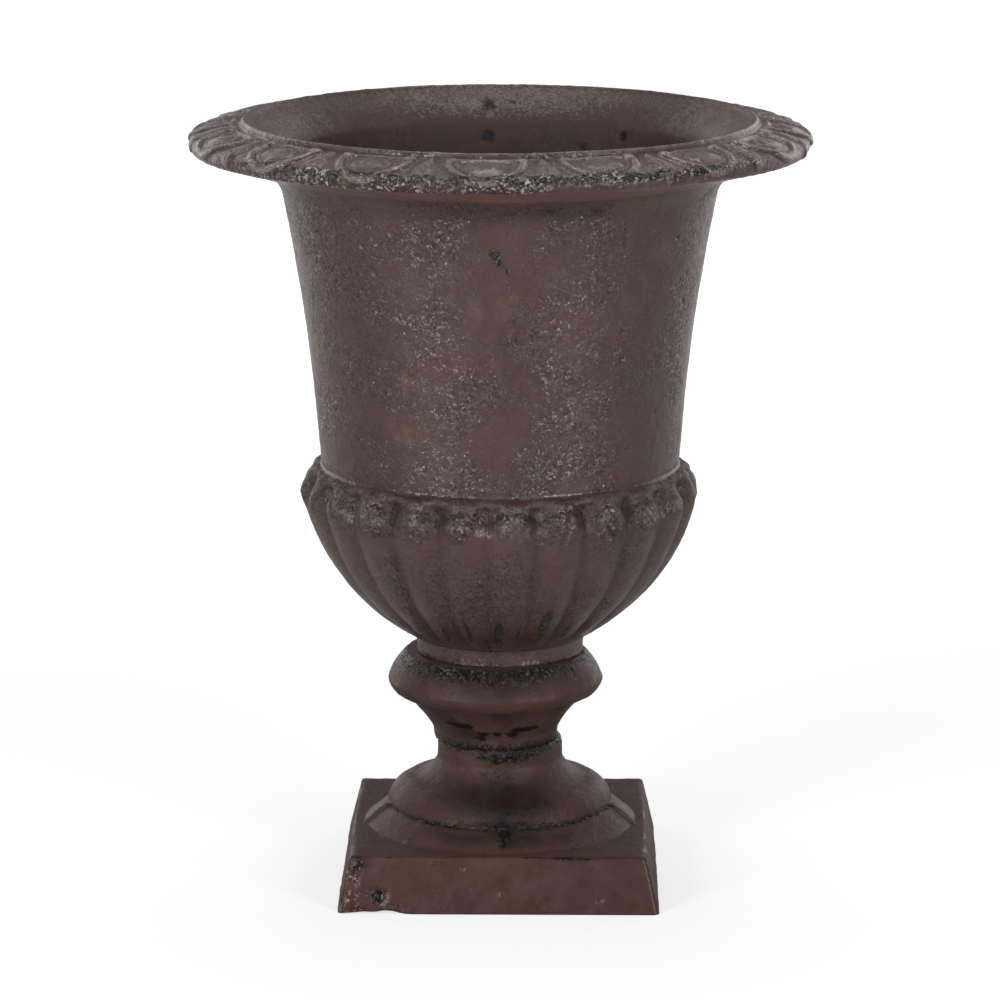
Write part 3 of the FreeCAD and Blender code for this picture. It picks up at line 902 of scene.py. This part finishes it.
def build_bowl(context):
    """The bowl casting with its lobes, bell and ornamented rim."""
    ornament, casting = context.scene.urn_ornament, context.scene.urn_casting
    turning = Turning(bowl_outline(), casting.columns, 0.42)
    base = turning.lifted(0)
    rough = Roughness(base, 11, 1.35, 3.2, 30)
    grain, small, middle = rough.grain, rough.small, rough.middle
    inside = turning.normal[:, :1] < -0.05
    sandy = 0.15 + 0.85 * rough.sand
    sandy = np.where(inside, 0.1 + 0.3 * sandy, sandy)

    lobes, lobe, valley = lobe_relief(turning, ornament)
    eggs = egg_and_dart(turning, ornament, base)
    nose_zone, nose_lift = nose_relief(turning, ornament, rough, lobe, valley)
    crust, tar, bare = bowl_cover(turning, rough, nose_zone, valley)
    pits = marks_at(turning, BOWL_PITS + scattered(90, 5, BELL_FOOT, BELL_TOP, 0.7, 0.7))
    inner_pits = marks_at(turning, INNER_PITS + scattered(40, 6, 120, 280, 0.9, 0.5), -1)
    inner_pits = inner_pits * np.clip(0.75 + 0.6 * small + 0.5 * middle + 0.4 * grain, 0, 1.2)
    pits = np.maximum(pits, inner_pits)

    rise = lobes + eggs + nose_lift + casting.warp * METRE * rough.slow * 0.7
    rise = rise + casting.lump * METRE * (middle * 0.6 + small * 0.5)
    rise = rise + casting.grain * METRE * grain * (0.3 + 1.1 * sandy + 1.8 * crust)
    rise = rise + 0.32 * crust * fractal(base, 2.1, 71, 2) - pits * 0.7
    points = turning.lifted(np.where(turning.among("underside", "hole"), 0, rise))
    away = np.hypot(points[..., 0], points[..., 1] - DRAIN_PLACE)
    drain = smooth_step(DRAIN_RADIUS + 0.15, DRAIN_RADIUS - 0.35, away) * turning.among("floor")
    points[..., 2] -= drain * (FLOOR_HEIGHT - 1)
    points[..., 2] = np.minimum(points[..., 2], LIP_CREST - 0.05)
    reach = np.hypot(points[..., 0], points[..., 1])
    points[..., :2] *= np.minimum(1, RIM_LIMIT / np.maximum(reach, 1))[..., None]

    worn = marks_at(turning, BOWL_WORN) * (0.6 + 0.5 * small)
    # Paler, warmer patches under the rim, added to the worn mask
    under = turning.ramp("under_rim", 1.5) * rough.patches(0.5, 0.2)
    # Paler tops of the eggs, the lobes and the lip's bead: partly worn paint, partly a painted
    # highlight
    bead = bell_curve(turning.past("lip") - 2.0, 1.0) * (0.65 + 0.5 * middle)
    rubbed = highest(2.4 * proud(eggs, 4), 0.8 * proud(lobes + nose_lift, 7), bead)
    # Painted shade: the swell darker towards its base, where it faces down
    shade = turning.ramp("swell", 0.1) * smooth_step(*SWELL_SHADE, turning.height + 3 * middle)
    throat = 0.5 + 0.5 * smooth_step(-6, 2, turning.past("throat"))
    piece = grid_object("bowl_casting", points, {
        "tar": clamp(tar),
        "crust": clamp(crust),
        "sandy": np.maximum(sandy, 0.8 * nose_zone),
        "worn": np.maximum(worn, under * (1 - clamp(crust))),
        "hollow": clamp(np.maximum(pits, 0.58 * shade)),
        "dull": np.maximum(inside * throat, 0.75 * nose_zone),
        "rubbed": clamp(rubbed) * (0.85 + 0.4 * small),
        "bare": bare,
    })
    paint = iron_paint("bowl_iron", casting, (0, 0, 0), 0.65, 0.45)
    finish_piece(piece, ["bowl"], paint)


# ---- Knop ----

def knop_outline():
    """The knop's closed outline, up the outside and down the bore."""
    bore = BOLT_HOLE_RADIUS + KNOP_SHIFT
    return [
        ("underside", STEM_FOOT_RADIUS, FOOT_TOP, 0, 2),
        ("stem", STEM_RADIUS, STEM_TOP, 0, 0.5),
        ("neck", KNOP_EDGE_RADIUS, NECK_TOP, -0.7, 0.5),
        ("under", KNOP_RADIUS, NECK_TOP + KNOP_UNDER_HEIGHT, 1.5, 0.5),
        ("top", KNOP_TOP_RADIUS, KNOP_TOP, 0.9, 0.5),
        ("seat", bore, KNOP_TOP, 0, 1.5),
        ("bore", bore, FOOT_TOP, 0, 3),
    ]


def build_knop(context):
    """The knop casting, turned and set a little off the middle."""
    casting = context.scene.urn_casting
    turning = Turning(knop_outline(), casting.columns // 2, 0.4)
    rough = Roughness(turning.lifted(0), 12, 1.6, 3.2, 26)
    small, middle = rough.small, rough.middle
    depth = KNOP_TOP - turning.height + 2.4 * middle + 1.2 * small
    top_seam = turning.ramp("top", 0.1) * smooth_step(6.0, 1.5, depth)
    stem_seam = smooth_step(4.5, 0.5, turning.height - FOOT_TOP)
    marks = marks_at(turning, KNOP_TAR) * (0.8 + 0.6 * small + 0.5 * middle + 0.4 * rough.grain)
    tar = highest(
        top_seam * rough.patches(0.72, 0.7), stem_seam * rough.patches(0.4, 0.8), marks)
    crust = clamp(np.maximum(top_seam, stem_seam * 0.9) + 0.3 * small)
    sandy = 0.25 * rough.sand
    rise = rough.skin(casting, 0.8, sandy, crust)
    points = turning.lifted(np.where(turning.among("underside", "seat", "bore"), 0, rise))
    points[..., 0] -= KNOP_SHIFT

    # Painted shade: the neck, the stem and the underside of the knop darkened, with the painted
    # shade on its front
    under = highest(
        turning.ramp("neck", 2), turning.ramp("stem", 0.5), 0.7 * turning.ramp("under", 0.5))
    shade = marks_at(turning, KNOP_SHADE) * (1 + 0.3 * middle)
    hollow = np.maximum(under * rough.patches(0.42, 0.3), shade)
    piece = grid_object("knop_casting", points, {
        "tar": clamp(tar),
        "crust": crust,
        "sandy": sandy,
        "worn": 0,
        "rubbed": 0,
        "bare": 0.3 * top_seam * rough.patches(0.5, 1),
        "hollow": hollow,
        "dull": clamp(1.6 * hollow),
    })
    paint = iron_paint("knop_iron", casting, (0.31, 0.17, 0.05), 0.06, 0.26)
    finish_piece(piece, ["knop"], paint)


# ---- Foot ----

def foot_outline():
    """The foot's closed outline, from the web down the inside, over the sole and up outside."""
    web = FOOT_TOP - WEB_THICKNESS
    return [
        ("web_hole", BOLT_HOLE_RADIUS, web, 0, 2),
        ("web", FOOT_COLLAR_RADIUS - WALL, web, 0, 1.5),
        ("core", FOOT_COLLAR_RADIUS - WALL, DOME_TOP - WALL, 0, 2),
        ("core_dome", DOME_BEND[0] - WALL, APRON_TOP - WALL + DOME_BEND[1], 0, 2),
        ("core_apron", DOME_RADIUS - WALL, APRON_TOP - WALL, 0, 2),
        ("core_mouth", APRON_RADIUS - WALL, PLINTH_HEIGHT - WALL, 0, 2),
        ("slab_roof", PLINTH_TOP_HALF - WALL + SLAB_DRAFT, PLINTH_HEIGHT - WALL, 0, 2),
        ("slab_wall", PLINTH_BASE_HALF - WALL, 0, 0, 1.5),
        ("sole", PLINTH_BASE_HALF, 0, 0, 1.0),
        ("side", PLINTH_TOP_HALF, PLINTH_HEIGHT, 0, 0.6),
        ("deck", APRON_RADIUS, PLINTH_HEIGHT, 0, 0.6),
        ("apron", DOME_RADIUS, APRON_TOP, 0, 0.5),
        ("dome", DOME_BEND[0], APRON_TOP + DOME_BEND[1], 2.5, 0.5),
        ("flare", FOOT_COLLAR_RADIUS, DOME_TOP, -1.45, 0.5),
        ("collar", FOOT_COLLAR_RADIUS, FOOT_TOP - FOOT_GROOVE_HEIGHT, 0, 0.5),
        ("groove", FOOT_GROOVE_RADIUS, FOOT_TOP, 0, 0.5),
        ("seat", BOLT_HOLE_RADIUS, FOOT_TOP, 0, 2),
    ]


def rounded_square(angle, half, corner):
    """Distance from the middle of a square with rounded corners to its side, at an angle."""
    fold = np.radians(np.abs((angle + 45) % 90 - 45))
    flat = half / np.cos(fold)
    centre = half - corner
    lean = centre * (np.cos(fold) - np.sin(fold))
    curved = centre * (np.cos(fold) + np.sin(fold))
    curved = curved + np.sqrt(np.maximum(corner ** 2 - lean ** 2, 0))
    return np.where(half * np.tan(fold) <= centre, flat, curved)


def build_foot(context):
    """The foot casting: square plinth, apron, dome and collar, cored out below."""
    casting = context.scene.urn_casting
    turning = Turning(foot_outline(), casting.columns, 0.45)
    angle, radius, height = turning.angle + PLINTH_TURN, turning.radius, turning.height
    deck = turning.among("deck")
    square = turning.among("slab_wall", "sole", "side").astype(float)
    square = np.where(deck, 1 - turning.share("deck"), square)
    square = np.where(turning.among("slab_roof"), turning.share("slab_roof"), square)
    outline = rounded_square(angle, np.maximum(radius, 12), PLINTH_CORNER)
    stretch = (1 + (outline / np.maximum(radius, 12) - 1) * square)[..., None]

    base = turning.lifted(0)
    base[..., :2] *= stretch
    rough = Roughness(base, 13, 1.7, 3.4, 30)
    small, middle = rough.small, rough.middle
    side_zone, apron = turning.ramp("side", 0.5), turning.ramp("apron", 0.6)
    crease = bell_curve(turning.past("dome"), 0.9)
    brow = bell_curve(turning.past("deck"), 0.8)
    groove = smooth_step(3.2, 0.4, FOOT_TOP - height)
    part_line = np.radians(nearest(angle, APRON_PART_LINES)) * radius
    part_line = bell_curve(part_line, 0.7) * apron
    rib = np.radians(nearest(angle, APRON_RIBS)) * radius
    rib = smooth_step(2.6, 1.2, rib + 0.5 * small) * apron
    pits = marks_at(turning, FOOT_PITS + scattered(10, 15, 2, PLINTH_HEIGHT, 0.6, 0.25))
    ragged = smooth_step(7, 0, height) * side_zone
    ragged = ragged * bell_curve(turned(angle) + 40, 7) * rough.patches(0.4, 1, 0.5)

    marks = marks_at(turning, FOOT_TAR)
    tar = highest(
        marks * (0.9 + 0.45 * small), crease * (0.75 + 0.3 * middle),
        groove * rough.patches(0.45, 0.8), part_line * 0.3, brow * rough.patches(0.35, 0.8))
    crust = highest(groove * 0.9, crease * 0.7, marks, 0.7 * ragged)
    crust = clamp(crust + 0.25 * small)
    sandy = 0.45 * rough.sand * (1 - 0.8 * side_zone)
    rise = rough.skin(casting, 0.9, sandy, crust)
    rise = rise - 0.5 * crease + 0.25 * part_line + 1.1 * rib - 1.5 * pits - 1.5 * ragged
    rise = rise * (1 - turning.ramp("sole", 0.8))
    points = turning.lifted(np.where(turning.among("seat", "web", "web_hole"), 0, rise))
    points[..., :2] *= stretch
    chipped = smooth_step(3, 0, height) * bell_curve(turned(angle) + 36, 7) * (height < 4)
    points[..., 2] += chipped * rough.patches(0.35, 1) * 1.5
    points[..., 2] = np.maximum(points[..., 2], 0.02)

    # Painted shade on the fronts of the apron, dome and collar
    shade = marks_at(turning, FOOT_SHADE)
    piece = grid_object("foot_casting", points, {
        "tar": clamp(tar),
        "crust": crust,
        "sandy": sandy,
        "worn": 0,
        "rubbed": 0,
        "bare": marks_at(turning, FOOT_BARE_AND_GLINTS) * rough.patches(0.6, 0, 0.8),
        "hollow": clamp(np.maximum(pits, shade * (1 + 0.2 * middle))),
        "dull": clamp(np.maximum(1.8 * shade, 0.6 * deck)),
    })
    paint = iron_paint("foot_iron", casting, (0.12, 0.4, 0.23), 0.08, 0.26)
    finish_piece(piece, ["foot"], paint)


# ---- Bolt, nut and washers ----

def ring_grid(rows):
    """A grid of points from rows of (radius, height), each a number or one number per column."""
    turn = np.radians(np.arange(BOLT_COLUMNS) * 360 / BOLT_COLUMNS)
    points = np.zeros((len(rows), BOLT_COLUMNS, 3))
    for k, (radius, height) in enumerate(rows):
        points[k, :, 0] = radius * np.sin(turn)
        points[k, :, 1] = -radius * np.cos(turn)
        points[k, :, 2] = height
    return points


def screw_rows(low, high):
    """Rows of the bolt's thread between two levels, faded out at both ends."""
    turn = np.arange(BOLT_COLUMNS) / BOLT_COLUMNS
    rows = []
    for height in np.arange(low, high, THREAD_PITCH / 8):
        wave = np.abs(((height / THREAD_PITCH - turn) % 1) * 2 - 1)
        fade = min(1.0, (height - low) / THREAD_PITCH, (high - height) / THREAD_PITCH)
        rows.append((BOLT_RADIUS - THREAD_DEPTH * clamp(wave * 1.3 - 0.15) * fade, height))
    return rows


def hexagon_rows(bottom, top, lower_chamfer):
    """Rows of a hexagonal body whose corners are turned off at the top, and below if told."""
    angle = np.arange(BOLT_COLUMNS) * 360 / BOLT_COLUMNS
    side = HEXAGON_WIDTH / 2 / np.cos(np.radians((angle + 30) % 60 - 30))
    inner = np.full(BOLT_COLUMNS, HEXAGON_WIDTH / 2 * 0.96)
    drop = (side - inner) * HEXAGON_CHAMFER
    soft = 0.15
    rows = [(side, bottom)]
    if lower_chamfer:
        rows = [(inner, bottom), (side - soft, bottom + drop), (side, bottom + drop + soft)]
    return rows + [(side, top - drop - soft), (side - soft, top - drop), (inner, top)]


def washer_rows(low, high):
    """Rows of a washer with softened edges."""
    return [
        (WASHER_BORE + 0.1, low), (WASHER_RADIUS - 0.15, low),
        (WASHER_RADIUS, low + WASHER_EDGE), (WASHER_RADIUS, high - WASHER_EDGE),
        (WASHER_RADIUS - 0.25, high), (WASHER_BORE + 0.3, high),
        (WASHER_BORE, high - WASHER_EDGE), (WASHER_BORE, low + WASHER_EDGE),
    ]


def build_bolt_set(context):
    """The tie bolt, its nut and the two washers."""
    low, high = level("tie_bolt", 0), level("tie_bolt", 1)
    head = level("bowl_washer", 1)
    thread_top = low + THREAD_LENGTH
    rows = {"tie_bolt": [
        (0.01, low), (3.1, low), (3.3, low + 0.3), *screw_rows(low + 0.6, thread_top),
        (3.9, thread_top + 0.5), (BOLT_RADIUS, thread_top + 1.2), (BOLT_RADIUS, head - 0.1),
        (4.6, head + 0.02), (HEXAGON_WIDTH / 2 * 0.93, head + 0.02),
        *hexagon_rows(head + 0.2, high, False),
        (2.6, high), (2.3, high - 0.25), (0.01, high - 0.25),
    ]}
    low, high = level("tie_nut", 0), level("tie_nut", 1)
    rows["tie_nut"] = hexagon_rows(low, high, True) + [
        (NUT_MOUTH, high), (NUT_BORE, high - 0.5), (NUT_BORE, low + 0.5), (NUT_MOUTH, low)]
    for name in ("bowl_washer", "foot_washer"):
        rows[name] = washer_rows(level(name, 0), level(name, 1))

    material = zinc_plate("zinc_plate", context.scene.urn_casting)
    for name, ring in rows.items():
        piece = grid_object(name + "_steel", ring_grid(ring), {}, closed=name != "tie_bolt")
        finish_piece(piece, [name], material)


# ---- Stage ----

def softbox(name, azimuth, distance, height, width, tall, aim_height, watts):
    """A rectangular area lamp that faces the urn's axis at a height."""
    data = bpy.data.lights.new(name, "AREA")
    data.shape = "RECTANGLE"
    data.size, data.size_y = width, tall
    data.energy = watts
    lamp = bpy.data.objects.new(name, data)
    turn = math.radians(azimuth)
    lamp.location = (distance * math.sin(turn), -distance * math.cos(turn), height)
    aim = Vector((0, 0, aim_height)) - lamp.location
    lamp.rotation_euler = aim.to_track_quat("-Z", "Y").to_euler()
    bpy.context.scene.collection.objects.link(lamp)


def studio_world(backdrop):
    """A world that is white to the camera and dim to the urn, a little brighter behind it."""
    world = Nodes(bpy.data.worlds.new("studio"))
    bpy.context.scene.world = world.owner
    path = world.add("ShaderNodeLightPath").outputs
    direct = world.most(path["Is Camera Ray"], path["Is Transmission Ray"])
    place = world.add("ShaderNodeTexCoord").outputs["Generated"]
    mirrored = world.ramp(world.part(place, "Y"), -0.25, 0.45, 0.04, 0.22)
    mirrored = world.times(path["Is Glossy Ray"], mirrored)
    diffuse = world.maths("SUBTRACT", 1.0, path["Is Glossy Ray"])
    strength = world.most(direct, world.plus(mirrored, 0.2, diffuse))
    shade = world.add("ShaderNodeBackground", inputs={"Color": backdrop, "Strength": strength})
    world.finish(shade, "ShaderNodeOutputWorld")


def floor_material(backdrop):
    """A pale floor that melts into the backdrop and keeps the urn's shadow."""
    mat = Nodes(bpy.data.materials.new("studio_floor"))
    place = mat.add("ShaderNodeTexCoord").outputs["Object"]
    path = mat.add("ShaderNodeLightPath").outputs
    seen = mat.blend(mat.noise(place, 400, 2), (0.4, 0.4, 0.4), (0.41, 0.41, 0.41))
    lit = mat.blend(path["Is Glossy Ray"], (0.85, 0.85, 0.85), (0.4, 0.4, 0.4))
    tone = mat.blend(path["Is Camera Ray"], lit, seen)
    paper = mat.add("ShaderNodeBsdfDiffuse", inputs={"Color": tone})
    away = mat.add("ShaderNodeVectorMath", operation="LENGTH", inputs={0: place})
    plain = mat.plus(0.7, 0.3, mat.ramp(away.outputs["Value"], 0.25, 1.1))
    sweep = mat.times(mat.ramp(mat.part(place, "Y"), 0.3, 1.0), path["Is Glossy Ray"])
    strength = mat.plus(mat.times(path["Is Camera Ray"], plain), 0.3, sweep)
    glow = mat.add("ShaderNodeEmission", inputs={"Color": backdrop, "Strength": strength})
    both = mat.add("ShaderNodeAddShader", inputs={0: paper.outputs[0], 1: glow.outputs[0]})
    return mat.finish(both)


def build_stage(context):
    """Camera, floor, lamps and world."""
    scene = context.scene
    studio = scene.urn_studio
    scene.view_settings.view_transform = "Standard"
    data = bpy.data.cameras.new("camera")
    data.lens = studio.lens
    data.sensor_width = SENSOR_WIDTH
    camera = bpy.data.objects.new("camera", data)
    camera.location = (
        0, -studio.distance * math.cos(studio.pitch),
        studio.aim_height + studio.distance * math.sin(studio.pitch))
    camera.rotation_euler = (math.pi / 2 - studio.pitch, 0, 0)
    scene.collection.objects.link(camera)
    scene.camera = camera

    mesh = bpy.data.meshes.new("floor")
    corners = (-1, -1, 0), (1, -1, 0), (1, 1, 0), (-1, 1, 0)
    mesh.from_pydata([Vector(corner) * FLOOR_REACH for corner in corners], [], [(0, 1, 2, 3)])
    mesh.materials.append(floor_material(tuple(studio.backdrop)))
    floor = bpy.data.objects.new("floor", mesh)
    scene.collection.objects.link(floor)

    for *place, lamp in SOFTBOXES:
        softbox(*place, getattr(studio, lamp))
    studio_world(tuple(studio.backdrop))


# ---- Add-on ----

class BuildBowl(bpy.types.Operator):
    """Build the bowl casting"""

    bl_idname = "urn.bowl"
    bl_label = "Bowl"

    def execute(self, context):
        build_bowl(context)
        return {"FINISHED"}


class BuildKnop(bpy.types.Operator):
    """Build the knop casting"""

    bl_idname = "urn.knop"
    bl_label = "Knop"

    def execute(self, context):
        build_knop(context)
        return {"FINISHED"}


class BuildFoot(bpy.types.Operator):
    """Build the foot casting"""

    bl_idname = "urn.foot"
    bl_label = "Foot"

    def execute(self, context):
        build_foot(context)
        return {"FINISHED"}


class BuildBoltSet(bpy.types.Operator):
    """Build the tie bolt with its nut and washers"""

    bl_idname = "urn.bolt_set"
    bl_label = "Bolt, nut and washers"

    def execute(self, context):
        build_bolt_set(context)
        return {"FINISHED"}


class BuildStage(bpy.types.Operator):
    """Build the floor, lamps, world and camera"""

    bl_idname = "urn.stage"
    bl_label = "Stage"

    def execute(self, context):
        build_stage(context)
        return {"FINISHED"}


GROUPS = {"urn_ornament": UrnOrnament, "urn_casting": UrnCasting, "urn_studio": UrnStudio}
OPERATORS = (BuildStage, BuildBowl, BuildKnop, BuildFoot, BuildBoltSet)


class UrnPanel(bpy.types.Panel):
    """Lists the urn's settings and the operators that build it"""

    bl_idname = "VIEW3D_PT_urn"
    bl_label = "Garden urn"
    bl_space_type = "VIEW_3D"
    bl_region_type = "UI"
    bl_category = "Urn"

    def draw(self, context):
        for name in GROUPS:
            box = self.layout.box()
            group = getattr(context.scene, name)
            for key in group.bl_rna.properties.keys():
                if key not in ("rna_type", "name"):
                    box.prop(group, key)
        for operator in OPERATORS:
            self.layout.operator(operator.bl_idname)


CLASSES = (*GROUPS.values(), *OPERATORS, UrnPanel)


def register():
    """Adds the settings, the operators and the panel to Blender."""
    for kind in CLASSES:
        bpy.utils.register_class(kind)
    for key, group in GROUPS.items():
        setattr(bpy.types.Scene, key, bpy.props.PointerProperty(type=group))


def unregister():
    """Takes them out again."""
    for key in GROUPS:
        delattr(bpy.types.Scene, key)
    for kind in reversed(CLASSES):
        bpy.utils.unregister_class(kind)


def main():
    """Builds the stage and every piece."""
    register()
    bpy.ops.urn.stage()
    bpy.ops.urn.bowl()
    bpy.ops.urn.knop()
    bpy.ops.urn.foot()
    bpy.ops.urn.bolt_set()


if __name__ == "__main__":
    main()
